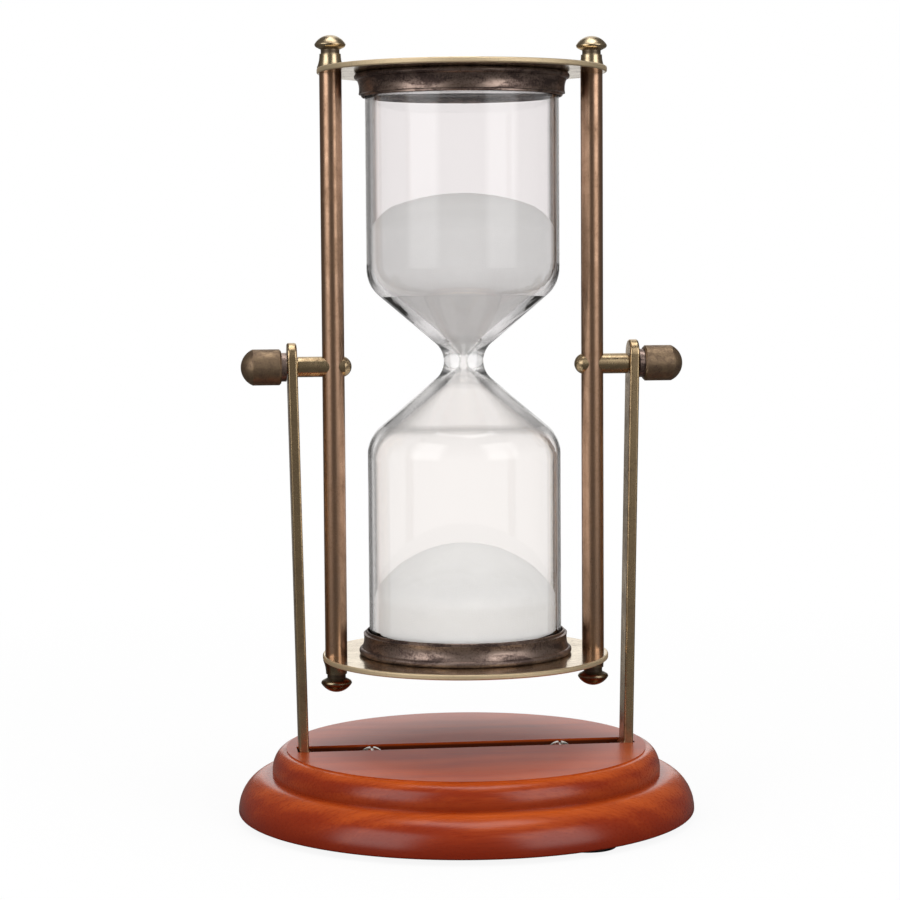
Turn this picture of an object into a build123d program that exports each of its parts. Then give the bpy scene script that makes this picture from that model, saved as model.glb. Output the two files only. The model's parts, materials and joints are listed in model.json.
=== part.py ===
from build123d import *
import math
import os

os.makedirs("parts", exist_ok=True)

# A rotating hourglass on a round wooden base. All sizes are millimetres.
# Z = 0 is the table, Z is up, and the pivot axis runs along X through the middle of the frame.

# Wooden base, measured up from the table
foot_thickness = 1.6
foot_radius = 8.0
foot_ring_radius = 53.0
foot_angles = {"left": 180, "front": -60, "back": 60}
foot_edge_round = 0.4
wood_thickness = 17.8
wood_radius = 64.3
lower_tier_width = 9.3
lower_tier_height = 10.1
lower_edge_round = 0.5
upper_tier_radius = 54.7
flat_top_radius = 50.7
flat_top_step = 0.4
upper_tier_drop = 5.8
slot_depth = 4.5
slot_half_length = 47.8
slot_clearance = 0.2

# Flat strap bent to a U, standing in the slot
strap_width = 8.0
strap_thickness = 2.7
strap_edge_round = 0.6
strap_bend_radius = 2.5
leg_x_at_base = 46.0
leg_x_at_pivot = 48.0
leg_above_pivot = 6.7
pivot_above_base = 107.4

# Round-head wood screws that hold the strap in the slot
screw_x = 26.8
screw_head_radius = 3.5
screw_head_height = 2.0
screw_slot_width = 0.8
screw_slot_depth = 0.8
screw_shank_radius = 1.5
screw_length = 9.0
screw_point_length = 3.0

# Turning frame, measured from the pivot axis
plate_radius = 40.2
plate_thickness = 1.5
plate_edge_round = 0.4
plate_outer_face = 82.4
post_x = 36.5
post_radius = 3.1
stud_radius = 1.5
stud_length = 6.0
finial_height = 8.9
finial_bell_radius = 3.7
finial_bell_height = 3.7
finial_bell_hollow = 0.2
finial_shoulder_radius = 2.95
finial_neck_radius = 2.6
finial_neck_height = 1.2
finial_flare_radius = 3.8
finial_flare_height = 5.5
finial_rim_radius = 4.3
finial_rim_height = 6.4

# Collars that hold the ends of the glass
collar_height = 6.5
collar_bore_radius = 27.5
collar_foot_radius = 29.1
collar_bead_radius = 29.9
collar_bead_height = 0.9
collar_bead_width = 1.8
collar_cove_radius = 28.55
collar_band_radius = 28.65
collar_band_end = 5.7
collar_lip_radius = 27.95
collar_lip_round = 0.2
cushion_radius = 26.2
cushion_thickness = 1.4

# Blown glass with two bulbs
glass_radius = 27.0
glass_wall = 1.3
glass_end_wall = 3.0
glass_end_round = 4.0
glass_shoulder_height = 21.3
glass_shoulder_round = 10.0
glass_waist_corner = 2.0
glass_waist_round = 6.5
glass_waist_rise = 1.2

# Inside of the glass at the waist: a narrow throat that opens like a trumpet
throat_radius = 0.9
throat_height = 1.8
throat_round = 2.5
trumpet_radius = 4.1
trumpet_height = 5.9
trumpet_round = 10.0
inner_shoulder_height = 22.15

# White sand, measured from the pivot axis
sand_gap = 0.15
upper_sand_wall_height = 38.0
upper_sand_apex = 47.9
upper_sand_crown_radius = 55.0
upper_sand_crown_share = 0.72
lower_sand_apex = -50.0
lower_sand_crown_radius = 31.0
lower_sand_crown_share = 0.93

# Pivots
pin_radius = 2.0
pin_head_radius = 2.8
pin_head_height = 2.0
pin_end_x = 57.0
spacer_radius = 2.85
washer_radius = 4.0
washer_thickness = 1.4
knob_radius = 5.0
knob_end_x = 62.2
knob_dome_length = 3.3
knob_edge_round = 0.5

# Clearances
running_clearance = 0.05
seat_clearance = 0.03
strap_side_clearance = 0.25
knob_side_clearance = 0.05
blind_end_room = 1.0

# Heights and places that follow from the sizes above
wood_bottom = foot_thickness
wood_top = wood_bottom + wood_thickness
pivot_height = wood_top + pivot_above_base
plate_inner_face = plate_outer_face - plate_thickness
slot_floor = wood_top - slot_depth
slot_width = strap_width + 2 * slot_clearance
strap_top = slot_floor + strap_thickness
strap_middle = slot_floor + strap_thickness / 2
glass_end = plate_inner_face - cushion_thickness - seat_clearance
inner_radius = glass_radius - glass_wall
inner_end = glass_end - glass_end_wall
throat_slope = (trumpet_radius - throat_radius) / (trumpet_height - throat_height)
cone_slope = (inner_radius - trumpet_radius) / (inner_shoulder_height - trumpet_height)
spacer_end_x = leg_x_at_pivot - strap_thickness / 2 - strap_side_clearance
washer_start_x = leg_x_at_pivot + strap_thickness / 2 + strap_side_clearance
knob_start_x = washer_start_x + washer_thickness + knob_side_clearance

sides = {"left": -1, "right": 1}
ends = {"top": 1, "bottom": -1}
pivot_plane = Plane(origin=(0, 0, pivot_height), x_dir=(1, 0, 0), z_dir=(0, -1, 0))
pivot_axis = Axis((0, 0, pivot_height), (1, 0, 0))


def upright_axis(x):
    return Axis((x, 0, 0), (0, 0, 1))


def leg_x(height):
    rise = (height - wood_top) / pivot_above_base
    return leg_x_at_base + rise * (leg_x_at_pivot - leg_x_at_base)


def cap_middle(radius, height):
    # Radius and height of the point halfway up the profile of a spherical cap
    ball = (radius**2 + height**2) / (2 * height)
    half_angle = math.asin(radius / ball) / 2
    return ball * math.sin(half_angle), height - ball * (1 - math.cos(half_angle))


def save(piece, name):
    piece.part.label = name
    export_step(piece.part, f"parts/{name}.step")


# Turned two-tier base with a slot across its top and pilot holes for the two screws
lower_tier_base = wood_bottom + lower_edge_round
ledge_height = lower_tier_base + lower_tier_height
ledge_radius = wood_radius - lower_tier_width
upper_round_top = wood_top - flat_top_step
upper_round_width = upper_tier_radius - flat_top_radius
with BuildPart() as wood_base:
    with BuildSketch(Plane.XZ):
        with BuildLine():
            Line((0, wood_bottom), (wood_radius - lower_edge_round, wood_bottom))
            CenterArc((wood_radius - lower_edge_round, lower_tier_base), lower_edge_round, -90, 90)
            EllipticalCenterArc(
                (ledge_radius, lower_tier_base),
                lower_tier_width,
                lower_tier_height,
                arc_size=90,
            )
            Line((ledge_radius, ledge_height), (upper_tier_radius, ledge_height))
            Line((upper_tier_radius, ledge_height), (upper_tier_radius, upper_round_top - upper_tier_drop))
            EllipticalCenterArc(
                (flat_top_radius, upper_round_top - upper_tier_drop),
                upper_round_width,
                upper_tier_drop,
                arc_size=90,
            )
            Line((flat_top_radius, upper_round_top), (flat_top_radius, wood_top))
            Line((flat_top_radius, wood_top), (0, wood_top))
            Line((0, wood_top), (0, wood_bottom))
        make_face()
    revolve(axis=Axis.Z)
    with BuildSketch(Plane.XY.offset(slot_floor)):
        Rectangle(2 * slot_half_length, slot_width)
    extrude(amount=slot_depth, mode=Mode.SUBTRACT)
    with BuildSketch(Plane.XY.offset(slot_floor)):
        with Locations((-screw_x, 0), (screw_x, 0)):
            Circle(screw_shank_radius + seat_clearance)
    extrude(amount=strap_thickness - screw_length - blind_end_room, mode=Mode.SUBTRACT)
save(wood_base, "wood_base")

# Three rubber pads under the base
for place, angle in foot_angles.items():
    with BuildPart() as foot_pad:
        with BuildSketch(Plane.XY):
            with PolarLocations(foot_ring_radius, 1, start_angle=angle):
                Circle(foot_radius)
        extrude(amount=foot_thickness)
        fillet(foot_pad.edges().group_by(Axis.Z)[0], radius=foot_edge_round)
    save(foot_pad, f"{place}_foot_pad")

# U bracket: one strip with round upper ends, a pivot hole in each leg and two screw holes in the foot
leg_end_height = pivot_height + leg_above_pivot
leg_end_round = strap_width / 2
strip_end_height = leg_end_height + strap_width
with BuildPart() as bracket:
    with BuildSketch(Plane.XZ):
        with BuildLine():
            FilletPolyline(
                (-leg_x(strip_end_height), strip_end_height),
                (-leg_x(strap_middle), strap_middle),
                (leg_x(strap_middle), strap_middle),
                (leg_x(strip_end_height), strip_end_height),
                radius=strap_bend_radius + strap_thickness / 2,
            )
        trace(line_width=strap_thickness)
    extrude(amount=strap_width / 2, both=True)
    with BuildSketch(Plane.YZ):
        with Locations((0, slot_floor)):
            Rectangle(
                strap_width,
                leg_end_height - leg_end_round - slot_floor,
                align=(Align.CENTER, Align.MIN),
            )
        with Locations((0, leg_end_height - leg_end_round)):
            Circle(leg_end_round)
    extrude(amount=2 * leg_x_at_pivot, both=True, mode=Mode.INTERSECT)
    side_edges = bracket.edges().group_by(Axis.Y)
    fillet(side_edges[0] + side_edges[-1], radius=strap_edge_round)
    with BuildSketch(Plane.YZ):
        with Locations((0, pivot_height)):
            Circle(pin_radius + running_clearance)
    extrude(amount=2 * leg_x_at_pivot, both=True, mode=Mode.SUBTRACT)
    with BuildSketch(Plane.XY.offset(slot_floor)):
        with Locations((-screw_x, 0), (screw_x, 0)):
            Circle(screw_shank_radius + running_clearance)
    extrude(amount=strap_thickness, mode=Mode.SUBTRACT)
save(bracket, "bracket")

# Two slotted round-head wood screws, one node
head_middle = cap_middle(screw_head_radius, screw_head_height)
with BuildPart() as bracket_screws:
    for x in (-screw_x, screw_x):
        with BuildSketch(Plane.XZ):
            with BuildLine():
                Polyline(
                    (x, strap_top + screw_head_height),
                    (x, strap_top - screw_length),
                    (x + screw_shank_radius, strap_top - screw_length + screw_point_length),
                    (x + screw_shank_radius, strap_top),
                    (x + screw_head_radius, strap_top),
                )
                ThreePointArc(
                    (x + screw_head_radius, strap_top),
                    (x + head_middle[0], strap_top + head_middle[1]),
                    (x, strap_top + screw_head_height),
                )
            make_face()
        revolve(axis=upright_axis(x))
    with BuildSketch(Plane.XY.offset(strap_top + screw_head_height)):
        with Locations((-screw_x, 0), (screw_x, 0)):
            Rectangle(screw_slot_width, 2 * screw_head_radius)
    extrude(amount=-screw_slot_depth, mode=Mode.SUBTRACT)
save(bracket_screws, "bracket_screws")

# Round end plates, drilled for the finial studs
for end, up in ends.items():
    with BuildPart() as plate:
        with BuildSketch(Plane.XY.offset(pivot_height + up * plate_inner_face)):
            Circle(plate_radius)
            with Locations((-post_x, 0), (post_x, 0)):
                Circle(stud_radius + running_clearance, mode=Mode.SUBTRACT)
        extrude(amount=up * plate_thickness)
        rim_edges = plate.edges().filter_by(GeomType.CIRCLE).sort_by(SortBy.RADIUS)[-2:]
        fillet(rim_edges, radius=plate_edge_round)
    save(plate, f"{end}_plate")

# Posts: round rods, tapped at both ends and cross-drilled for the pivot pin
for side, out in sides.items():
    with BuildPart() as post:
        with BuildSketch(Plane.XY.offset(pivot_height)):
            with Locations((out * post_x, 0)):
                Circle(post_radius)
        extrude(amount=plate_inner_face, both=True)
        for up in ends.values():
            with BuildSketch(Plane.XY.offset(pivot_height + up * plate_inner_face)):
                with Locations((out * post_x, 0)):
                    Circle(stud_radius + running_clearance)
            extrude(amount=-up * (stud_length + blind_end_room), mode=Mode.SUBTRACT)
        with BuildSketch(Plane.YZ):
            with Locations((0, pivot_height)):
                Circle(pin_radius + seat_clearance)
        extrude(amount=2 * post_x, both=True, mode=Mode.SUBTRACT)
    save(post, f"{side}_post")

# Mushroom finials, each with a stud that runs through the plate into the post
neck_top = finial_bell_height + finial_neck_height
stud_end = -plate_thickness - stud_length
bell_waist_radius = (finial_bell_radius + finial_shoulder_radius) / 2 - finial_bell_hollow
cap_middle_radius, cap_middle_height = cap_middle(finial_rim_radius, finial_height - finial_rim_height)
for end, up in ends.items():
    for side, out in sides.items():

        def finial_point(radius, height):
            return (out * post_x + radius, pivot_height + up * (plate_outer_face + height))

        with BuildPart() as finial:
            with BuildSketch(Plane.XZ):
                with BuildLine():
                    Polyline(
                        finial_point(0, finial_height),
                        finial_point(0, stud_end),
                        finial_point(stud_radius, stud_end),
                        finial_point(stud_radius, 0),
                        finial_point(finial_bell_radius, 0),
                    )
                    ThreePointArc(
                        finial_point(finial_bell_radius, 0),
                        finial_point(bell_waist_radius, finial_bell_height / 2),
                        finial_point(finial_shoulder_radius, finial_bell_height),
                    )
                    Polyline(
                        finial_point(finial_shoulder_radius, finial_bell_height),
                        finial_point(finial_neck_radius, finial_bell_height),
                        finial_point(finial_neck_radius, neck_top),
                    )
                    flare = Line(
                        finial_point(finial_neck_radius, neck_top),
                        finial_point(finial_flare_radius, finial_flare_height),
                    )
                    TangentArc(
                        finial_point(finial_flare_radius, finial_flare_height),
                        finial_point(finial_rim_radius, finial_rim_height),
                        tangent=flare % 1,
                    )
                    ThreePointArc(
                        finial_point(finial_rim_radius, finial_rim_height),
                        finial_point(cap_middle_radius, finial_rim_height + cap_middle_height),
                        finial_point(0, finial_height),
                    )
                make_face()
            revolve(axis=upright_axis(out * post_x))
        save(finial, f"{end}_{side}_finial")

# Turned collars: a bead beside the plate, a shallow cove, a narrow band and a small lip around the glass
cove_middle = (collar_bead_width + collar_band_end) / 2
for end, up in ends.items():

    def collar_point(radius, height):
        return (radius, pivot_height + up * (plate_inner_face - height))

    with BuildPart() as collar:
        with BuildSketch(Plane.XZ):
            with BuildLine():
                Line(collar_point(collar_bore_radius, 0), collar_point(collar_foot_radius, 0))
                ThreePointArc(
                    collar_point(collar_foot_radius, 0),
                    collar_point(collar_bead_radius, collar_bead_height),
                    collar_point(collar_foot_radius, collar_bead_width),
                )
                ThreePointArc(
                    collar_point(collar_foot_radius, collar_bead_width),
                    collar_point(collar_cove_radius, cove_middle),
                    collar_point(collar_band_radius, collar_band_end),
                )
                Polyline(
                    collar_point(collar_band_radius, collar_band_end),
                    collar_point(collar_lip_radius, collar_band_end + collar_lip_round),
                    collar_point(collar_lip_radius, collar_height - collar_lip_round),
                    collar_point(collar_lip_radius - collar_lip_round, collar_height),
                    collar_point(collar_bore_radius, collar_height),
                    collar_point(collar_bore_radius, 0),
                )
            make_face()
        revolve(axis=Axis.Z)
    save(collar, f"{end}_collar")

    # Felt cushion between the plate and the flat end of the glass
    with BuildPart() as cushion:
        with BuildSketch(Plane.XY.offset(pivot_height + up * plate_inner_face)):
            Circle(cushion_radius)
        extrude(amount=-up * cushion_thickness)
    save(cushion, f"{end}_cushion")

# One-piece glass: straight bulbs, rounded shoulders, cones and a thick waist with a narrow throat.
# The waist sits a little above the pivot axis, so the upper bulb is the shorter one.
inner_end_round = glass_end_round - glass_wall
with BuildPart() as glass_bulb:
    with BuildSketch(pivot_plane):
        with BuildLine():
            FilletPolyline(
                (0, glass_end),
                (glass_radius, glass_end),
                (glass_radius, glass_waist_rise + glass_shoulder_height),
                (glass_waist_corner, glass_waist_rise),
                (glass_radius, glass_waist_rise - glass_shoulder_height),
                (glass_radius, -glass_end),
                (0, -glass_end),
                radius=[
                    glass_end_round,
                    glass_shoulder_round,
                    glass_waist_round,
                    glass_shoulder_round,
                    glass_end_round,
                ],
            )
            Line((0, -glass_end), (0, -inner_end))
            FilletPolyline(
                (0, -inner_end),
                (inner_radius, -inner_end),
                (inner_radius, glass_waist_rise - inner_shoulder_height),
                (trumpet_radius, glass_waist_rise - trumpet_height),
                (throat_radius, glass_waist_rise - throat_height),
                (throat_radius, glass_waist_rise + throat_height),
                (trumpet_radius, glass_waist_rise + trumpet_height),
                (inner_radius, glass_waist_rise + inner_shoulder_height),
                (inner_radius, inner_end),
                (0, inner_end),
                radius=[
                    inner_end_round,
                    glass_shoulder_round,
                    trumpet_round,
                    throat_round,
                    throat_round,
                    trumpet_round,
                    glass_shoulder_round,
                    inner_end_round,
                ],
            )
            Line((0, inner_end), (0, glass_end))
        make_face()
    revolve(axis=Axis.Z)
save(glass_bulb, "glass_bulb")

# Sand left in the upper bulb, with a low domed top
sand_radius = inner_radius - sand_gap
throat_shift = sand_gap * math.hypot(1, throat_slope)
cone_shift = sand_gap * math.hypot(1, cone_slope)
bend_lift = (cone_shift - throat_shift) / (cone_slope - throat_slope)
sand_bend_radius = trumpet_radius + throat_slope * bend_lift - throat_shift
sand_bend_height = glass_waist_rise + trumpet_height + bend_lift
sand_tip_radius = throat_radius - sand_gap
sand_tip_height = glass_waist_rise + throat_height + (throat_shift - sand_gap) / throat_slope
sand_shoulder = glass_waist_rise + inner_shoulder_height + (cone_shift - sand_gap) / cone_slope
upper_crown_edge = upper_sand_crown_share * sand_radius
upper_crown_fall = math.sqrt(upper_sand_crown_radius**2 - upper_crown_edge**2)
upper_crown_centre = upper_sand_apex - upper_sand_crown_radius
upper_crown_edge_height = upper_crown_centre + upper_crown_fall
upper_crown_angle = math.degrees(math.asin(upper_crown_edge / upper_sand_crown_radius))
with BuildPart() as upper_sand:
    with BuildSketch(pivot_plane):
        with BuildLine():
            Line((0, upper_sand_apex), (0, sand_tip_height))
            FilletPolyline(
                (0, sand_tip_height),
                (sand_tip_radius, sand_tip_height),
                (sand_bend_radius, sand_bend_height),
                (sand_radius, sand_shoulder),
                (sand_radius, upper_sand_wall_height),
                radius=[0, trumpet_round + sand_gap, glass_shoulder_round],
            )
            TangentArc(
                (upper_crown_edge, upper_crown_edge_height),
                (sand_radius, upper_sand_wall_height),
                tangent=(upper_crown_fall, -upper_crown_edge),
            )
            CenterArc((0, upper_crown_centre), upper_sand_crown_radius, 90, -upper_crown_angle)
        make_face()
    revolve(axis=Axis.Z)
save(upper_sand, "upper_sand")

# Domed sand heap in the lower bulb, with a soft edge that runs into the wall
crown_centre = lower_sand_apex - lower_sand_crown_radius
crown_edge = lower_sand_crown_share * sand_radius
crown_fall = math.sqrt(lower_sand_crown_radius**2 - crown_edge**2)
crown_angle = math.degrees(math.asin(crown_edge / lower_sand_crown_radius))
heap_edge_round = (sand_radius - crown_edge) / (1 - crown_edge / lower_sand_crown_radius)
heap_wall_height = crown_centre + crown_fall - heap_edge_round * crown_fall / lower_sand_crown_radius
heap_floor = -inner_end + sand_gap
with BuildPart() as lower_sand:
    with BuildSketch(pivot_plane):
        with BuildLine():
            CenterArc((0, crown_centre), lower_sand_crown_radius, 90, -crown_angle)
            TangentArc(
                (crown_edge, crown_centre + crown_fall),
                (sand_radius, heap_wall_height),
                tangent=(crown_fall, -crown_edge),
            )
            FilletPolyline(
                (sand_radius, heap_wall_height),
                (sand_radius, heap_floor),
                (0, heap_floor),
                radius=[inner_end_round - sand_gap],
            )
            Line((0, heap_floor), (0, lower_sand_apex))
        make_face()
    revolve(axis=Axis.Z)
save(lower_sand, "lower_sand")

# Pivots: pin, spacer tube, washer and knob on each side, all turned about the pivot axis
head_x = post_x - post_radius
pin_cap_radius, pin_cap_height = cap_middle(pin_head_radius, pin_head_height)
knob_cap_radius, knob_cap_height = cap_middle(knob_radius, knob_dome_length)
bore_end_x = pin_end_x + blind_end_room
dome_start_x = knob_end_x - knob_dome_length
for side, out in sides.items():
    with BuildPart() as pivot_pin:
        with BuildSketch(pivot_plane):
            with BuildLine():
                Polyline(
                    (out * (head_x - pin_head_height), 0),
                    (out * post_x, 0),
                    (out * post_x, pin_head_radius),
                    (out * head_x, pin_head_radius),
                )
                ThreePointArc(
                    (out * head_x, pin_head_radius),
                    (out * (head_x - pin_cap_height), pin_cap_radius),
                    (out * (head_x - pin_head_height), 0),
                )
            make_face()
        revolve(axis=pivot_axis)
        with BuildSketch(Plane.XY.offset(pivot_height)):
            with Locations((out * post_x, 0)):
                Circle(post_radius + seat_clearance)
        extrude(amount=2 * pin_head_radius, both=True, mode=Mode.SUBTRACT)
        with BuildSketch(pivot_plane):
            with BuildLine():
                Polyline(
                    (out * head_x, 0),
                    (out * pin_end_x, 0),
                    (out * pin_end_x, pin_radius),
                    (out * head_x, pin_radius),
                    close=True,
                )
            make_face()
        revolve(axis=pivot_axis)
    save(pivot_pin, f"{side}_pivot_pin")

    with BuildPart() as spacer:
        with BuildSketch(Plane.YZ.offset(out * post_x)):
            with Locations((0, pivot_height)):
                Circle(spacer_radius)
                Circle(pin_radius + seat_clearance, mode=Mode.SUBTRACT)
        extrude(amount=out * (spacer_end_x - post_x))
        with BuildSketch(Plane.XY.offset(pivot_height)):
            with Locations((out * post_x, 0)):
                Circle(post_radius + seat_clearance)
        extrude(amount=2 * spacer_radius, both=True, mode=Mode.SUBTRACT)
    save(spacer, f"{side}_spacer")

    with BuildPart() as washer:
        with BuildSketch(Plane.YZ.offset(out * washer_start_x)):
            with Locations((0, pivot_height)):
                Circle(washer_radius)
                Circle(pin_radius + seat_clearance, mode=Mode.SUBTRACT)
        extrude(amount=out * washer_thickness)
    save(washer, f"{side}_washer")

    with BuildPart() as knob:
        with BuildSketch(pivot_plane):
            with BuildLine():
                Polyline(
                    (out * knob_end_x, 0),
                    (out * bore_end_x, 0),
                    (out * bore_end_x, pin_radius + running_clearance),
                    (out * knob_start_x, pin_radius + running_clearance),
                    (out * knob_start_x, knob_radius - knob_edge_round),
                    (out * (knob_start_x + knob_edge_round), knob_radius),
                    (out * dome_start_x, knob_radius),
                )
                ThreePointArc(
                    (out * dome_start_x, knob_radius),
                    (out * (dome_start_x + knob_cap_height), knob_cap_radius),
                    (out * knob_end_x, 0),
                )
            make_face()
        revolve(axis=pivot_axis)
    save(knob, f"{side}_knob")
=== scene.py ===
import json
import math

import bmesh
import bpy
from mathutils import Matrix, Vector, noise


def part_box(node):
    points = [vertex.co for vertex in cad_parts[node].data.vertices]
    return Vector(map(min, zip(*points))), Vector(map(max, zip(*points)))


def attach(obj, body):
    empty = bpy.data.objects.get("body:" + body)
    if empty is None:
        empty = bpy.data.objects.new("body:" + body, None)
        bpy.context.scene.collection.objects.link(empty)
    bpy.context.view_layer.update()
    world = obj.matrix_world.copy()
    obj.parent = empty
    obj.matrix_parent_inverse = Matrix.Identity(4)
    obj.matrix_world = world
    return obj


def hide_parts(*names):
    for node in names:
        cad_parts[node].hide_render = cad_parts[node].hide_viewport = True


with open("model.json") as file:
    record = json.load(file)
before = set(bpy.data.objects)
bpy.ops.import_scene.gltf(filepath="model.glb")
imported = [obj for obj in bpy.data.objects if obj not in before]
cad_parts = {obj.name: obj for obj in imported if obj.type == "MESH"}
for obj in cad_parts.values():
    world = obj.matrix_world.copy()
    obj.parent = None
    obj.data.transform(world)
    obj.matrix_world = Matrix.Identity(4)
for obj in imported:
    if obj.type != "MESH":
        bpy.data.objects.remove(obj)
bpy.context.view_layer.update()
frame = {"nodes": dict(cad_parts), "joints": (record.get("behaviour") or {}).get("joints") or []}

mm = 0.001
nodes = frame["nodes"]
pivotHeight = frame["joints"][0]["pos_m"][2]
print("frame loaded,", len(nodes), "nodes")


def metres(*values):
    return tuple(value * mm for value in values)


class Wire:  # one socket that can take part in sums
    def __init__(self, finish, socket):
        self.finish = finish
        self.socket = socket

    def other(self, name):  # another output of the same node
        return Wire(self.finish, self.socket.node.outputs[name])

    def __add__(self, value):
        return self.finish.maths("ADD", self, value)

    def __radd__(self, value):
        return self.finish.maths("ADD", value, self)

    def __sub__(self, value):
        return self.finish.maths("SUBTRACT", self, value)

    def __rsub__(self, value):
        return self.finish.maths("SUBTRACT", value, self)

    def __mul__(self, value):
        return self.finish.maths("MULTIPLY", self, value)

    def __truediv__(self, value):
        return self.finish.maths("DIVIDE", self, value)

    def __abs__(self):
        return self.finish.maths("ABSOLUTE", self, 0)


class Finish:  # a material, a lamp or the world, with its nodes
    def __init__(self, owner, endKind="ShaderNodeOutputMaterial"):
        owner.use_nodes = True
        self.owner = owner
        self.nodes = owner.node_tree.nodes
        self.links = owner.node_tree.links
        self.nodes.clear()
        self.end = self.nodes.new(endKind)

    def feed(self, socket, value):
        if isinstance(value, Wire):
            self.links.new(value.socket, socket)
        elif socket.type == "RGBA":
            socket.default_value = (*value, 1)
        else:
            socket.default_value = value

    def setStops(self, ramp, stops):
        first, *middle, last = stops
        ramp.elements[0].position, ramp.elements[0].color = first[0], (*first[1], 1)
        ramp.elements[1].position, ramp.elements[1].color = last[0], (*last[1], 1)
        for position, colour in middle:
            ramp.elements.new(position).color = (*colour, 1)

    def node(self, kind, settings=None, sockets=None, output=0):
        made = self.nodes.new(kind)
        for name, value in (settings or {}).items():
            if name == "stops":
                self.setStops(made.color_ramp, value)
            else:
                setattr(made, name, value)
        for name, value in (sockets or {}).items():
            self.feed(made.inputs[name], value)
        return Wire(self, made.outputs[output])

    def maths(self, operation, a, b=0.0):
        return self.node("ShaderNodeMath", {"operation": operation}, {0: a, 1: b})

    def blend(self, amount, low, high):  # colour mix
        return self.node("ShaderNodeMix", {"data_type": "RGBA"}, {0: amount, 6: low, 7: high}, 2)

    def span(self, value, low, high):  # 0 at low, 1 at high, held in between
        return self.node("ShaderNodeMapRange", None, {"Value": value, "From Min": low, "From Max": high})

    def spot(self):  # where the point is on the piece, in metres
        return self.node("ShaderNodeTexCoord", output="Object")

    def axes(self):
        x = self.node("ShaderNodeSeparateXYZ", None, {0: self.spot()})
        return x, x.other("Y"), x.other("Z")

    def height(self):
        return self.axes()[2]

    def away(self, one, two):  # distance from two offsets at right angles
        return self.maths("SQRT", one * one + two * two)

    def speckle(self, size, detail=3.0, rough=0.55, warp=0.0):  # noise, size in mm, one or one per axis
        sizes = size if isinstance(size, tuple) else (size, size, size)
        scale = tuple(1 / (mm * s) for s in sizes)
        spot = self.node("ShaderNodeVectorMath", {"operation": "MULTIPLY"}, {0: self.spot(), 1: scale})
        sockets = {"Vector": spot, "Scale": 1, "Detail": detail, "Roughness": rough, "Distortion": warp}
        return self.node("ShaderNodeTexNoise", None, sockets)

    def bump(self, height, depth, strength=1.0):
        sockets = {"Strength": strength, "Distance": depth * mm, "Height": height}
        return self.node("ShaderNodeBump", None, sockets)

    def principled(self, sockets):
        return self.node("ShaderNodeBsdfPrincipled", None, sockets)

    def close(self, shader):
        self.links.new(shader.socket, self.end.inputs["Surface"])
        return self.owner


def newFinish(name):
    return Finish(bpy.data.materials.new(name))


def seenBy(f, *kinds):  # 1 for these kinds of ray
    path = f.node("ShaderNodeLightPath", output=f"Is {kinds[0]} Ray")
    seen = path
    for kind in kinds[1:]:
        seen = f.maths("MAXIMUM", seen, path.other(f"Is {kind} Ray"))
    return seen


def dress(material, *names):
    for name in names:
        nodes[name].material_slots[0].material = material


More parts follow.
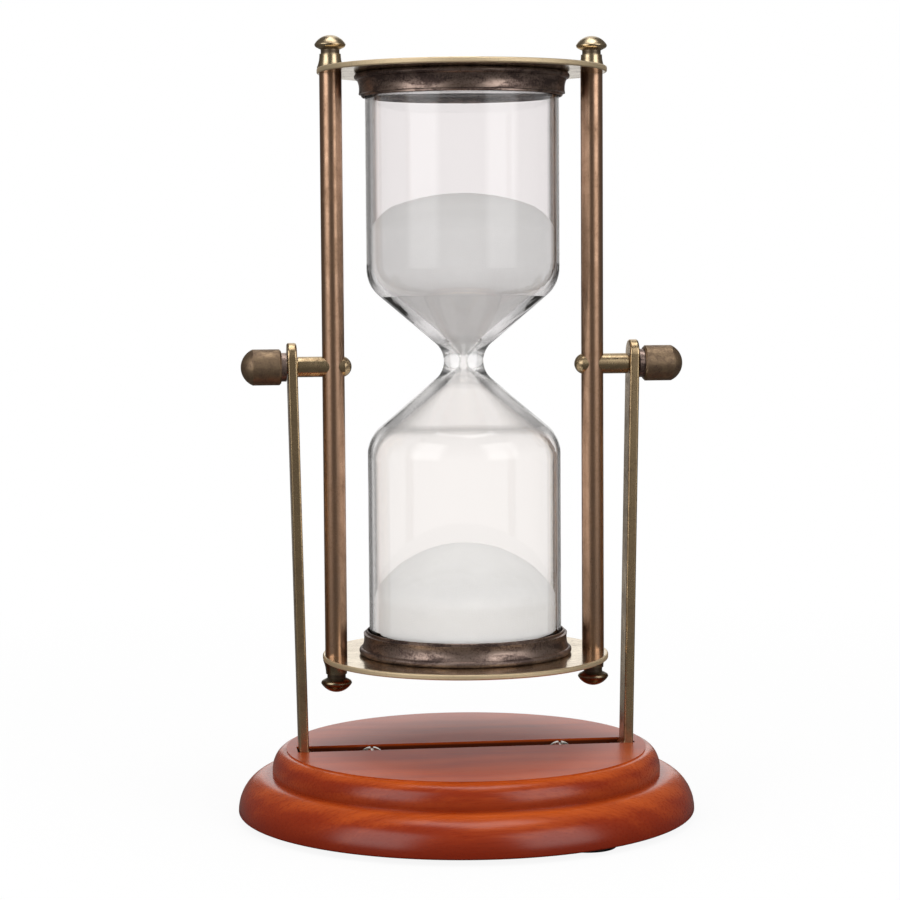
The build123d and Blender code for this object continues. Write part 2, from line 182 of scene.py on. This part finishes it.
# Turned base, stained red-brown and lacquered; sizes in mm
def stainedWood():
    look = {
        "pale": (0.57, 0.098, 0.011),
        "middle": (0.39, 0.045, 0.005),
        "dark": (0.21, 0.014, 0.002),
        "pore": (0.12, 0.010, 0.003),
        "slot": (0.035, 0.010, 0.005),
        "heartAbove": 55.0,  # how far above the base the rings are centred
        "ringGap": 6.5,
        "ringDrift": 16.0,
        "driftSize": (90, 26, 26),
        "fibreSize": (38, 0.8, 0.8),
        "cloudSize": 34,
        "poreSize": (7, 0.32, 0.32),
        "poreRange": (0.60, 0.70),
        "mix": {"bands": 0.10, "fibre": 0.35, "cloud": 0.4, "crestHighlight": 0.36, "flat": 0.2},
        "toneRange": (0.10, 0.90),
        "paleFrom": 0.45,
        "stainAndShade": {"rim": 0.9, "creaseShade": 0.7, "pore": 0.3, "slot": 0.9},
        "rimFade": 6.0,  # painted shade, partly stain, gathers towards the table and in the crease between the tiers
        "creaseRadius": 55.0,
        "creaseFade": (0.4, 3.0),
        "creaseTop": (13.0, 16.0),
        "crests": ((12.2, 4.0), (19.2, 2.4)),  # height and reach of the painted highlight bands, also rubbed
        "flatEdge": (0.3, 0.05),  # below the top
        "slotSide": (1.5, 2.0),  # beside the strip
        "slotTop": (0.8, 0.2),  # below the top
        "slotEnd": (51.0, 52.0),
        "flatDull": (-14.0, 28.0, 62.0),  # y of the worn patch, no polish inside, full polish outside
        "roughness": 0.22,
        "flatRoughness": 0.10,
        "fibreRoughness": 0.12,
        "relief": (0.03, 0.5),
        "specular": 0.08,
        "coat": 0.62,
        "flatCoat": 0.52,
        "coatRoughness": 0.22,
        "coatIor": 1.5,
    }
    f = newFinish("stainedWood")
    x, y, z = f.axes()
    bottom, top = (corner.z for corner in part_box("wood_base"))
    out = f.away(x, y)
    # painted shade, partly stain: darker towards the table
    rim = 1 - f.span(z, bottom, bottom + look["rimFade"] * mm)
    # painted shade, partly stain, in the crease between the tiers
    creaseShade = 1 - f.span(abs(out - look["creaseRadius"] * mm), *metres(*look["creaseFade"]))
    creaseShade = creaseShade * (1 - f.span(z, *metres(*look["creaseTop"])))
    flat = f.span(z, *(top - depth * mm for depth in look["flatEdge"]))
    # painted highlight, partly wear: paler bands along the crest of each tier
    rubbedAndLit = [1 - f.span(abs(z - height * mm), 0, reach * mm) for height, reach in look["crests"]]
    crestHighlight = f.maths("MAXIMUM", *rubbedAndLit) * (1 - flat)
    patchY, dull, bright = metres(*look["flatDull"])
    polish = f.span(f.away(x, y - patchY), dull, bright)
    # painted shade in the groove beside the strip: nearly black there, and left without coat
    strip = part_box("bracket")[1].y
    slot = 1 - f.span(abs(y), *(strip + side * mm for side in look["slotSide"]))
    slot = slot * (1 - f.span(z, *(top - depth * mm for depth in look["slotTop"])))
    slot = slot * (1 - f.span(out, *metres(*look["slotEnd"])))
    heart = z - (top + look["heartAbove"] * mm)
    ring = f.away(y, heart) / mm + f.speckle(look["driftSize"], detail=2) * look["ringDrift"]
    bands = f.maths("SINE", ring * (2 * math.pi / look["ringGap"])) * 0.5 + 0.5
    fibre = f.speckle(look["fibreSize"], detail=4, rough=0.6)
    cloud = f.speckle(look["cloudSize"], detail=3)
    pores = f.span(f.speckle(look["poreSize"], detail=2), *look["poreRange"])
    mix, stainAndShade = look["mix"], look["stainAndShade"]
    tone = bands * mix["bands"] + fibre * mix["fibre"] + cloud * mix["cloud"]
    # the flat top also gets a paler tone, painted light from above
    tone = f.span(tone + crestHighlight * mix["crestHighlight"] + flat * mix["flat"], *look["toneRange"])
    colour = f.blend(tone, look["dark"], look["middle"])
    colour = f.blend(f.span(tone, look["paleFrom"], 1.0), colour, look["pale"])
    colour = f.blend(f.maths("MAXIMUM", rim * stainAndShade["rim"], creaseShade * stainAndShade["creaseShade"]), colour, look["dark"])
    colour = f.blend(pores * stainAndShade["pore"], colour, look["pore"])
    colour = f.blend(slot * stainAndShade["slot"], colour, look["slot"])
    return f.close(f.principled({
        "Base Color": colour,
        "Roughness": look["roughness"] + flat * look["flatRoughness"] + fibre * look["fibreRoughness"],
        "Normal": f.bump(fibre * 0.5 - pores * 0.5, *look["relief"]),
        "Specular IOR Level": look["specular"],
        "Coat Weight": (1 - flat) * (1 - slot) * look["coat"] + flat * polish * look["flatCoat"],
        "Coat Roughness": look["coatRoughness"],
        "Coat IOR": look["coatIor"],
    }))


# One recipe for every metal: bright metal under brown tarnish, dark grime, painted shade or highlight where
# a piece asks for it, brush marks and pits
metalMix = {
    "tarnish": (0.75, 0.25),  # clouds and spots
    "dirt": (0.4, 0.6),
    "brushStain": 0.2,
    "dirtRough": 0.12,
    "brushRough": 0.08,
    "dirtMetal": 0.35,  # how much less metal shows under dirt
    "relief": {"brush": 0.35, "spots": 0.45, "dirt": 0.2},
}


def agedMetal(name, look, wornAndLit=None, grimeAndShade=None):
    f = newFinish(name)
    mix = metalMix
    cloud = f.speckle(look["cloudSize"], detail=5, rough=0.62, warp=0.6)
    spots = f.speckle(look["spotSize"], detail=3, rough=0.7)
    brush = f.speckle(look["brushSize"], detail=2)
    tarnish = f.span(cloud * mix["tarnish"][0] + spots * mix["tarnish"][1], *look["tarnish"])
    # painted highlight, partly wear, where a piece asks for it: tarnish is lifted to show bright metal
    if wornAndLit:
        rubbedAndLit = wornAndLit(f)
        tarnish = tarnish * (1 - rubbedAndLit)
    colour = f.blend(tarnish, look["bright"], look["brown"])
    dirt = f.span(cloud * mix["dirt"][0] + spots * mix["dirt"][1], *look["dirt"])
    # painted shade where a piece asks for it, darkened with the same colour as the grime
    if grimeAndShade:
        dirt = f.maths("MAXIMUM", dirt, grimeAndShade(f))
    colour = f.blend(dirt * look["dirtAmount"], colour, look["grimeAndShade"])
    colour = f.blend(brush * mix["brushStain"], colour, look["brown"])
    rough = look["roughness"] + tarnish * look["tarnishRough"]
    rough = rough + dirt * mix["dirtRough"] + brush * mix["brushRough"]
    if wornAndLit:
        rough = rough + rubbedAndLit * look["wornRough"]
    relief = mix["relief"]
    relief = brush * relief["brush"] + spots * relief["spots"] - dirt * relief["dirt"]
    return f.close(f.principled({
        "Base Color": colour,
        "Metallic": 1.0 - dirt * mix["dirtMetal"],
        "Roughness": rough,
        "Normal": f.bump(relief, look["relief"]),
    }))


agedBrass = {
    "bright": (0.70, 0.55, 0.35),
    "brown": (0.36, 0.26, 0.155),
    "grimeAndShade": (0.045, 0.03, 0.02),
    "cloudSize": 5.0,
    "spotSize": 0.7,
    "brushSize": (3.0, 3.0, 0.12),
    "tarnish": (0.40, 0.66),
    "dirt": (0.56, 0.74),
    "dirtAmount": 0.55,
    "roughness": 0.20,
    "tarnishRough": 0.12,
    "relief": 0.008,
}


def strapBrass():  # rolled strip, brushed along its length
    look = {**agedBrass, "bright": (0.76, 0.56, 0.32), "brushSize": (0.12, 0.12, 14.0), "cloudSize": 7.0}
    return agedMetal("strapBrass", look)


def plateBrass():  # sheet discs, polished at the rim, with a painted highlight there
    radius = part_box("top_plate")[1].x
    look = {
        **agedBrass,
        "bright": (0.95, 0.79, 0.54),
        "brown": (0.58, 0.44, 0.27),
        "brushSize": (9.0, 0.12, 0.5),
        "wornRough": 0.55,
        "dirtAmount": 0.3,
        "roughness": 0.09,
        "tarnishRough": 0.06,
        "relief": 0.002,
        "rim": (0.7, 0.1),  # in from the edge
        "rimWearAndHighlight": 0.9,
    }

    # painted highlight, partly wear: bright metal shows along the rim
    def wornAndLit(f):
        x, y, z = f.axes()
        return f.span(f.away(x, y), *(radius - depth * mm for depth in look["rim"])) * look["rimWearAndHighlight"]

    return agedMetal("plateBrass", look, wornAndLit)


def finialBrass(name, shade):  # turned knobs, dark in the neck with painted shade and patina
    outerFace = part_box("top_plate")[1].z - pivotHeight
    look = {
        **agedBrass,
        "bright": tuple(shade * part for part in (0.95, 0.77, 0.50)),
        "brown": tuple(shade * part for part in (0.46, 0.33, 0.20)),
        "brushSize": (2.0, 2.0, 0.1),
        "dirt": (0.62, 0.8),
        "dirtAmount": 0.92,
        "neckAt": 4.4,
        "neckReach": (0.3, 1.1),
    }

    # painted shade with patina: a dark ring in the neck
    def grimeAndShade(f):
        neck = outerFace + look["neckAt"] * mm
        return 1 - f.span(abs(abs(f.height() - pivotHeight) - neck), *metres(*look["neckReach"]))

    return agedMetal(name, look, None, grimeAndShade)


def pinBrass():  # turned pivot pins and spacers
    look = {**agedBrass, "bright": (0.58, 0.44, 0.26), "brushSize": (0.1, 1.5, 1.5), "cloudSize": 3.0}
    return agedMetal("pinBrass", look)


def brownBrass():  # drawn rods, more copper in the tone
    look = {
        **agedBrass,
        "bright": (0.52, 0.33, 0.22),
        "brown": (0.36, 0.215, 0.135),
        "grimeAndShade": (0.06, 0.034, 0.022),
        "brushSize": (0.10, 0.10, 22.0),
        "cloudSize": 9.0,
        "roughness": 0.24,
        "dirtAmount": 0.4,
    }
    return agedMetal("brownBrass", look)


def darkBronze():  # blackened collars with rubbed patches
    look = {
        **agedBrass,
        "bright": (0.45, 0.338, 0.284),
        "brown": (0.122, 0.083, 0.072),
        "grimeAndShade": (0.035, 0.025, 0.023),
        "brushSize": (6.0, 6.0, 0.2),
        "cloudSize": (9.0, 9.0, 3.0),
        "spotSize": 0.55,
        "tarnish": (0.40, 0.58),
        "dirt": (0.50, 0.68),
        "dirtAmount": 0.8,
        "roughness": 0.30,
        "relief": 0.03,
        "bead": (0.5, 2.6),  # painted shade next to the plate, fading out on the cove
        "plateShade": 0.45,
    }
    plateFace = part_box("top_plate")[0].z - pivotHeight

    # painted shade where the collar meets the plate
    def grimeAndShade(f):
        below = plateFace - abs(f.height() - pivotHeight)
        return (1 - f.span(below, *metres(*look["bead"]))) * look["plateShade"]

    return agedMetal("darkBronze", look, None, grimeAndShade)


def knobBronze():  # dull brown knobs
    look = {
        **agedBrass,
        "bright": (0.38, 0.27, 0.17),
        "brown": (0.19, 0.13, 0.09),
        "grimeAndShade": (0.05, 0.036, 0.028),
        "brushSize": (0.12, 2.0, 2.0),
        "cloudSize": 2.5,
        "spotSize": 0.45,
        "dirtAmount": 0.5,
        "roughness": 0.42,
        "relief": 0.03,
    }
    return agedMetal("knobBronze", look)


def screwSteel():  # nickel-plated screw heads
    look = {
        **agedBrass,
        "bright": (0.66, 0.65, 0.61),
        "brown": (0.42, 0.39, 0.33),
        "grimeAndShade": (0.06, 0.05, 0.04),
        "cloudSize": 2.0,
        "spotSize": 0.4,
        "brushSize": (0.1, 2.0, 0.1),
        "dirtAmount": 0.3,
        "roughness": 0.16,
    }
    return agedMetal("screwSteel", look)


def padRubber():
    look = {
        "clean": (0.012, 0.012, 0.012),
        "dusty": (0.045, 0.043, 0.04),
        "fineSize": 0.5,
        "dustSize": 4.0,
        "dustRange": (0.45, 0.75),
        "dustAmount": 0.5,
        "roughness": (0.6, 0.25),  # plain, and added by the fine grain
        "relief": 0.04,
    }
    f = newFinish("padRubber")
    fine = f.speckle(look["fineSize"], detail=3)
    dust = f.span(f.speckle(look["dustSize"], detail=4), *look["dustRange"])
    plain, added = look["roughness"]
    return f.close(f.principled({
        "Base Color": f.blend(dust * look["dustAmount"], look["clean"], look["dusty"]),
        "Roughness": plain + fine * added,
        "Normal": f.bump(fine, look["relief"]),
    }))


def paleFelt():
    look = {
        "low": (0.82, 0.81, 0.79),
        "high": (0.95, 0.945, 0.93),
        "fluffSize": (0.5, 0.5, 0.2),
        "tuftSize": 2.2,
        "mix": (0.6, 0.3),  # fluff and tufts
        "roughness": (0.85, 0.1),
        "relief": 0.12,
        "sheen": 0.3,
    }
    f = newFinish("paleFelt")
    fluff = f.speckle(look["fluffSize"], detail=5, rough=0.7, warp=1.5)
    tufts = f.speckle(look["tuftSize"], detail=3)
    fine, coarse = look["mix"]
    plain, added = look["roughness"]
    return f.close(f.principled({
        "Base Color": f.blend(fluff * fine + tufts * coarse, look["low"], look["high"]),
        "Roughness": plain + fluff * added,
        "Normal": f.bump(fluff + tufts * 0.5, look["relief"]),
        "Sheen Weight": look["sheen"],
    }))


# Blown glass: clear, with painted shade where the wall is seen edge on, and a slight wave
def clearGlass():
    look = {
        "edgeShade": [
            (0.00, (1.0, 1.0, 1.0)),
            (0.62, (0.97, 0.97, 0.97)),
            (0.675, (0.50, 0.50, 0.495)),
            (0.72, (0.08, 0.08, 0.079)),
            (0.78, (0.08, 0.08, 0.079)),
            (0.85, (0.28, 0.28, 0.276)),
            (1.00, (0.65, 0.65, 0.64)),
        ],
        "waistAbove": 1.2,  # from the pivot, in mm
        "bulbBlend": 8.0,  # reach of the change from lower to upper bulb
        "edgeShift": (-0.02, 0.03),  # the painted dark edge is thin on the lower bulb, wider on the upper one
        "coneReach": (18.5, 22.0),  # from the waist; the cones only get a milder painted grey shade
        "coneFacing": (0.48, 0.68),
        "throatReach": (5.2, 7.4),  # from the waist; light is trapped between the walls there
        "throatClear": 0.3,  # so this share goes straight through
        "upperCone": (0.82, 0.815, 0.81),
        "lowerCone": (0.50, 0.497, 0.493),
        "shoulderLine": (18.4, 0.3, 1.0, 0.3),  # a painted dark line on the lower shoulder: below the waist, reach and strength
        "shoulderShade": (0.3, 0.3, 0.3),
        # painted shade: the upper bulb is tinted greyer than the lower
        "upperShadedTint": (0.935, 0.912, 0.912),
        "lowerTint": (0.985, 0.965, 0.952),
        "waveSize": 16.0,
        "waveDepth": 0.05,
        "ior": 1.47,
        "shadow": (0.985, 0.985, 0.98),  # light that reaches the sand
    }
    f = newFinish("clearGlass")
    facing = f.node("ShaderNodeLayerWeight", None, {"Blend": 0.5}, "Facing")
    up = f.height() - (pivotHeight + look["waistAbove"] * mm)
    upper = f.span(up, *metres(-look["bulbBlend"], look["bulbBlend"]))
    thin, wide = look["edgeShift"]
    shift = thin + upper * (wide - thin)
    # painted shade: the glass darkens where its wall is seen edge on
    edge = f.node("ShaderNodeValToRGB", {"stops": look["edgeShade"]}, {"Fac": facing + shift})
    # on the cones the painted edge shade gives way to a milder painted grey
    cone = 1 - f.span(abs(up), *metres(*look["coneReach"]))
    grey = f.blend(upper, look["lowerCone"], look["upperCone"])
    grey = f.blend(f.span(facing, *look["coneFacing"]), (1, 1, 1), grey)
    edge = f.blend(cone, edge, grey)
    below, near, far, strength = look["shoulderLine"]
    # painted shade: a dark line across the lower shoulder
    line = (1 - f.span(abs(up + below * mm), *metres(near, far))) * strength
    edge = f.blend(line, edge, look["shoulderShade"])
    # painted shade: the upper bulb's glass is greyer than the lower one
    body = f.blend(upper, look["lowerTint"], look["upperShadedTint"])
    multiply = {"data_type": "RGBA", "blend_type": "MULTIPLY"}
    glass = f.principled({
        "Base Color": f.node("ShaderNodeMix", multiply, {0: 1.0, 6: edge, 7: body}, 2),
        "Roughness": 0.0,
        "IOR": look["ior"],
        "Transmission Weight": 1.0,
        "Normal": f.bump(f.speckle(look["waveSize"], detail=1), look["waveDepth"]),
    })
    throat = (1 - f.span(abs(up), *metres(*look["throatReach"]))) * look["throatClear"]
    straight = f.maths("MAXIMUM", seenBy(f, "Shadow", "Diffuse"), throat)
    clear = f.node("ShaderNodeBsdfTransparent", None, {"Color": look["shadow"]})
    return f.close(f.node("ShaderNodeMixShader", None, {0: straight, 1: glass, 2: clear}))


def whiteSand():
    look = {
        "grey": (0.75, 0.75, 0.75),
        "white": (0.985, 0.985, 0.985),
        "grainSize": 0.28,
        "patchSize": 7.0,
        "mix": (0.5, 0.25),  # grain and patches
        "tone": -0.375,
        "level": (-0.6, 0.7),  # upward part of the normal, from a slope to lying level
        "slopeWhite": 0.95,
        "lowerWhite": (0.95, 0.6),  # painted light: the lower heap is whiter than the upper, less so where it lies level
        "lowerBlend": 5.0,
        "roughness": (0.75, 0.2),
        "relief": 0.10,
        "specular": 0.2,
    }
    f = newFinish("whiteSand")
    grain = f.speckle(look["grainSize"], detail=2, rough=0.7)
    patch = f.speckle(look["patchSize"], detail=3)
    normal = f.node("ShaderNodeTexCoord", output="Normal")
    level = f.span(f.node("ShaderNodeSeparateXYZ", None, {0: normal}, "Z"), *look["level"])
    lower = 1 - f.span(f.height() - pivotHeight, *metres(-look["lowerBlend"], look["lowerBlend"]))
    fine, coarse = look["mix"]
    white, less = look["lowerWhite"]
    tone = grain * fine + patch * coarse + look["tone"]
    # painted shade: level sand is kept greyer than slopes, against the light from above, and the upper heap
    # greyer than the lower
    tone = tone + (1 - level) * look["slopeWhite"] + lower * (white - level * less)
    plain, added = look["roughness"]
    return f.close(f.principled({
        "Base Color": f.blend(tone, look["grey"], look["white"]),
        "Roughness": plain + grain * added,
        "Diffuse Roughness": 1.0,
        "Specular IOR Level": look["specular"],
        "Normal": f.bump(grain, look["relief"]),
    }))


dress(stainedWood(), "wood_base")
dress(padRubber(), "left_foot_pad", "front_foot_pad", "back_foot_pad")
dress(strapBrass(), "bracket")
dress(screwSteel(), "bracket_screws")
dress(plateBrass(), "top_plate", "bottom_plate")
dress(finialBrass("finialBrass", 0.7), "top_left_finial", "top_right_finial")
# painted shade: the bottom pair is a darker copy of the top pair's brass
dress(finialBrass("finialBrassShaded", 0.38), "bottom_left_finial", "bottom_right_finial")
dress(pinBrass(), "left_pivot_pin", "right_pivot_pin", "left_spacer", "right_spacer")
dress(brownBrass(), "left_post", "right_post")
dress(darkBronze(), "top_collar", "bottom_collar", "left_washer", "right_washer")
dress(knobBronze(), "left_knob", "right_knob")
dress(clearGlass(), "glass_bulb")
print("finishes made")


# Sand, as its own fine mesh with a grainy skin
def sandHeap(name, node, finish):
    shape = {
        "voxel": 0.5 * mm,
        "ripple": 0.10 * mm,
        "rippleSize": 3.0 * mm,
        "rippleLevel": 0.6,  # share of the ripple that is cut away
        "grain": 0.05 * mm,
        "grainPitch": 0.61,  # off the grid, so the grains do not line up
    }
    heap = bpy.data.objects.new(name, nodes[node].data.copy())
    bpy.context.scene.collection.objects.link(heap)
    remesh = heap.modifiers.new("grid", "REMESH")
    remesh.mode = "VOXEL"
    remesh.voxel_size = shape["voxel"]
    depsgraph = bpy.context.evaluated_depsgraph_get()
    mesh = bpy.data.meshes.new_from_object(heap.evaluated_get(depsgraph))
    heap.modifiers.clear()
    heap.data = mesh
    mesh.name = name
    moves = []
    for vertex in mesh.vertices:
        ripple = noise.noise(vertex.co / shape["rippleSize"]) * shape["ripple"]
        grain = noise.noise(vertex.co / shape["voxel"] * shape["grainPitch"]) * shape["grain"]
        sink = max(0.0, shape["rippleLevel"] * shape["ripple"] - ripple) + max(0.0, -grain)
        moves.append(vertex.co - vertex.normal * sink)
    for vertex, place in zip(mesh.vertices, moves):
        vertex.co = place
    mesh.materials.clear()
    mesh.materials.append(finish)
    mesh.shade_smooth()
    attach(heap, "hourglass")
    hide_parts(node)


sandFinish = whiteSand()
sandHeap("upper_sand_fill", "upper_sand", sandFinish)
sandHeap("lower_sand_heap", "lower_sand", sandFinish)
print("sand filled")


# Felt cushions, pressed between plate and glass
def feltCushion(name, node, finish):
    shape = {
        "flatShare": 0.96,  # of the radius, before the edge rounds off
        "edgeSteps": 5,
        "turns": 128,
        "rings": 14,
        "sag": 0.08 * mm,
        "sagSize": 7 * mm,
    }
    low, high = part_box(node)
    radius = high.x
    middle = (low.z + high.z) / 2
    half = (high.z - low.z) / 2
    flat = radius * shape["flatShare"]
    profile = [(flat * step / shape["rings"], half) for step in range(shape["rings"] + 1)]
    for step in range(1, shape["edgeSteps"] + 1):
        angle = math.pi / 2 * step / shape["edgeSteps"]
        profile.append((flat + (radius - flat) * math.sin(angle), half * math.cos(angle)))
    profile += [(r, -z) for r, z in reversed(profile[:-1])]
    mesh = bmesh.new()
    rings = []
    for r, z in profile:
        if r < 1e-6:
            rings.append([mesh.verts.new((0, 0, middle + z))])
            continue
        ring = []
        for turn in range(shape["turns"]):
            angle = 2 * math.pi * turn / shape["turns"]
            spot = Vector((r * math.cos(angle), r * math.sin(angle), middle + z))
            dip = (noise.noise(spot / shape["sagSize"]) + 1) * 0.5 * shape["sag"]
            spot.z -= math.copysign(dip, z) if abs(z) > 1e-6 else 0
            ring.append(mesh.verts.new(spot))
        rings.append(ring)
    for inner, outer in zip(rings, rings[1:]):
        for turn in range(shape["turns"]):
            after = (turn + 1) % shape["turns"]
            corners = [outer[turn % len(outer)], outer[after % len(outer)]]
            corners += [inner[after % len(inner)], inner[turn % len(inner)]]
            mesh.faces.new(list(dict.fromkeys(corners)))  # a corner is given once at the centre
    bmesh.ops.recalc_face_normals(mesh, faces=mesh.faces)
    data = bpy.data.meshes.new(name)
    mesh.to_mesh(data)
    mesh.free()
    data.materials.append(finish)
    data.shade_smooth()
    cushion = bpy.data.objects.new(name, data)
    bpy.context.scene.collection.objects.link(cushion)
    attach(cushion, "hourglass")
    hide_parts(node)


feltFinish = paleFelt()
feltCushion("top_felt", "top_cushion", feltFinish)
feltCushion("bottom_felt", "bottom_cushion", feltFinish)
print("cushions made")


# Camera where the photograph was taken from
photoView = {
    "distance": 0.7019,
    "abovePivot": 0.0296,
    "azimuth": -7.23,
    "aimLeft": 0.324,
    "pitch": 4.351,
    "roll": -0.396,
    "lens": 100.4,
}


def photoCamera():
    camera = bpy.data.objects.new("photoCamera", bpy.data.cameras.new("photoCamera"))
    bpy.context.scene.collection.objects.link(camera)
    around = math.radians(photoView["azimuth"])
    camera.location = (
        photoView["distance"] * math.sin(around),
        -photoView["distance"] * math.cos(around),
        pivotHeight + photoView["abovePivot"],
    )
    turn = Matrix.Rotation(around + math.radians(photoView["aimLeft"]), 4, "Z")
    tilt = Matrix.Rotation(math.pi / 2 - math.radians(photoView["pitch"]), 4, "X")
    roll = Matrix.Rotation(math.radians(photoView["roll"]), 4, "Z")
    camera.rotation_euler = (turn @ tilt @ roll).to_euler()
    camera.data.lens = photoView["lens"]
    camera.data.sensor_width = 36
    camera.data.clip_start = 0.01
    bpy.context.scene.camera = camera


photoCamera()


# Two tall soft boxes beside the camera and one overhead; radiance 1 is white
studio = {
    "aim": (0, 0, 0.12),
    "side": {"angle": 47, "distance": 0.9, "height": 0.45, "width": 0.82, "tall": 0.85, "radiance": 2.3},
    "over": {"spot": (0.02, -0.02, 0.85), "size": 0.5, "radiance": 3.0},
    "edge": 0.2,  # share of a box over which its edge fades
    "low": 0.1,  # how much is left at the foot of a side box
    "fill": (0.42, 0.62),  # at the horizon and overhead
    "backdrop": {"white": 16, "dark": 40, "shade": 0.25},  # degrees up, as seen bent through glass
    "tent": {
        "radius": 1.2,
        "height": 1.1,
        "inside": 0.068,
        "floorGap": 0.001,
        "crown": 0.01,
        "opening": 17,
        "steps": 60,
        "shade": (0.12, 0.115, 0.11),
    },
    "floor": {
        "radius": 2.5,
        "near": 0.10,
        "far": 0.45,
        "glow": 0.9,
        "seen": (0.93, 0.93, 0.93),
        "bounce": ((0.08, 0.08, 0.08), (0.55, 0.55, 0.55)),  # next to the base and further off
    },
}


def softBox(name, spot, width, tall, radiance, low=1.0):
    lamp = bpy.data.lights.new(name, "AREA")
    lamp.shape = "RECTANGLE"
    lamp.size = width
    lamp.size_y = tall
    lamp.energy = radiance * math.pi * width * tall
    f = Finish(lamp, "ShaderNodeOutputLight")
    place = f.node("ShaderNodeNewGeometry", output="Parametric")
    across = f.node("ShaderNodeSeparateXYZ", None, {0: place})
    fade = f.span(0.5 - abs(across - 0.5), 0, studio["edge"])
    fade = fade * (low + f.span(across.other("Y"), 0, studio["edge"]) * (1 - low))
    colour = f.blend(fade, (0, 0, 0), (1, 1, 1))
    f.close(f.node("ShaderNodeEmission", None, {"Color": colour, "Strength": 1.0}))
    box = bpy.data.objects.new(name, lamp)
    box.location = spot
    box.rotation_euler = (Vector(studio["aim"]) - Vector(spot)).to_track_quat("-Z", "Y").to_euler()
    box.visible_camera = False
    box.visible_transmission = False
    bpy.context.scene.collection.objects.link(box)


for name, way in (("leftBox", -1), ("rightBox", 1)):
    side = studio["side"]
    angle = math.radians(photoView["azimuth"] + way * side["angle"])
    spot = (side["distance"] * math.sin(angle), -side["distance"] * math.cos(angle), side["height"])
    softBox(name, spot, side["width"], side["tall"], side["radiance"], studio["low"])
over = studio["over"]
softBox("overBox", over["spot"], over["size"], over["size"], over["radiance"])


# Dark screens round the set, seen in reflections only, open behind the object
def darkTent():
    tent = studio["tent"]
    f = newFinish("darkTent")
    f.close(f.node("ShaderNodeEmission", None, {"Color": tent["shade"], "Strength": 1.0}))
    profile = [
        (tent["inside"], tent["floorGap"]),
        (tent["radius"], tent["floorGap"]),
        (tent["radius"], tent["height"]),
        (tent["crown"], tent["height"]),
    ]
    mesh = bmesh.new()
    rings = []
    for step in range(tent["steps"] + 1):
        turn = -180 + tent["opening"] + (360 - 2 * tent["opening"]) * step / tent["steps"]
        angle = math.radians(photoView["azimuth"] + turn)
        rings.append([mesh.verts.new((r * math.sin(angle), -r * math.cos(angle), z)) for r, z in profile])
    for one, two in zip(rings, rings[1:]):
        for a in range(len(profile) - 1):
            mesh.faces.new((one[a], one[a + 1], two[a + 1], two[a]))
    data = bpy.data.meshes.new("darkTent")
    mesh.to_mesh(data)
    mesh.free()
    data.materials.append(f.owner)
    screen = bpy.data.objects.new("darkTent", data)
    bpy.context.scene.collection.objects.link(screen)
    screen.visible_camera = False
    screen.visible_diffuse = False
    screen.visible_transmission = False
    screen.visible_shadow = False


def paleFloor():
    look = studio["floor"]
    f = newFinish("paleFloor")
    x, y, z = f.axes()
    away = f.span(f.away(x, y), look["near"], look["far"])
    colour = f.blend(seenBy(f, "Camera"), f.blend(away, *look["bounce"]), look["seen"])
    matt = f.node("ShaderNodeBsdfDiffuse", None, {"Color": colour})
    white = f.node("ShaderNodeEmission", None, {"Color": (1, 1, 1), "Strength": 1.0})
    amount = seenBy(f, "Camera", "Transmission") * (look["glow"] + away * (1 - look["glow"]))
    f.close(f.node("ShaderNodeMixShader", None, {0: amount, 1: matt, 2: white}))
    mesh = bmesh.new()
    bmesh.ops.create_circle(mesh, cap_ends=True, segments=96, radius=look["radius"])
    data = bpy.data.meshes.new("paleFloor")
    mesh.to_mesh(data)
    mesh.free()
    data.materials.append(f.owner)
    floor = bpy.data.objects.new("paleFloor", data)
    bpy.context.scene.collection.objects.link(floor)


def whiteWorld():
    world = bpy.data.worlds.new("whiteWorld")
    bpy.context.scene.world = world
    f = Finish(world, "ShaderNodeOutputWorld")
    low, high = studio["fill"]
    backdrop = studio["backdrop"]
    x = f.node("ShaderNodeSeparateXYZ", None, {0: f.node("ShaderNodeTexCoord", output="Generated")})
    rise = abs(x.other("Z"))
    fill = low + rise * (high - low)
    white, dark = (math.sin(math.radians(backdrop[limit])) for limit in ("white", "dark"))
    dim = f.span(rise, white, dark)
    bent = seenBy(f, "Transmission") * dim * (1 - backdrop["shade"])
    strength = fill + seenBy(f, "Camera", "Glossy", "Transmission") * (1 - fill) - bent
    f.close(f.node("ShaderNodeBackground", None, {"Color": (1, 1, 1), "Strength": strength}))


darkTent()
paleFloor()
whiteWorld()
bpy.context.scene.view_settings.view_transform = "Standard"
print("studio lit")
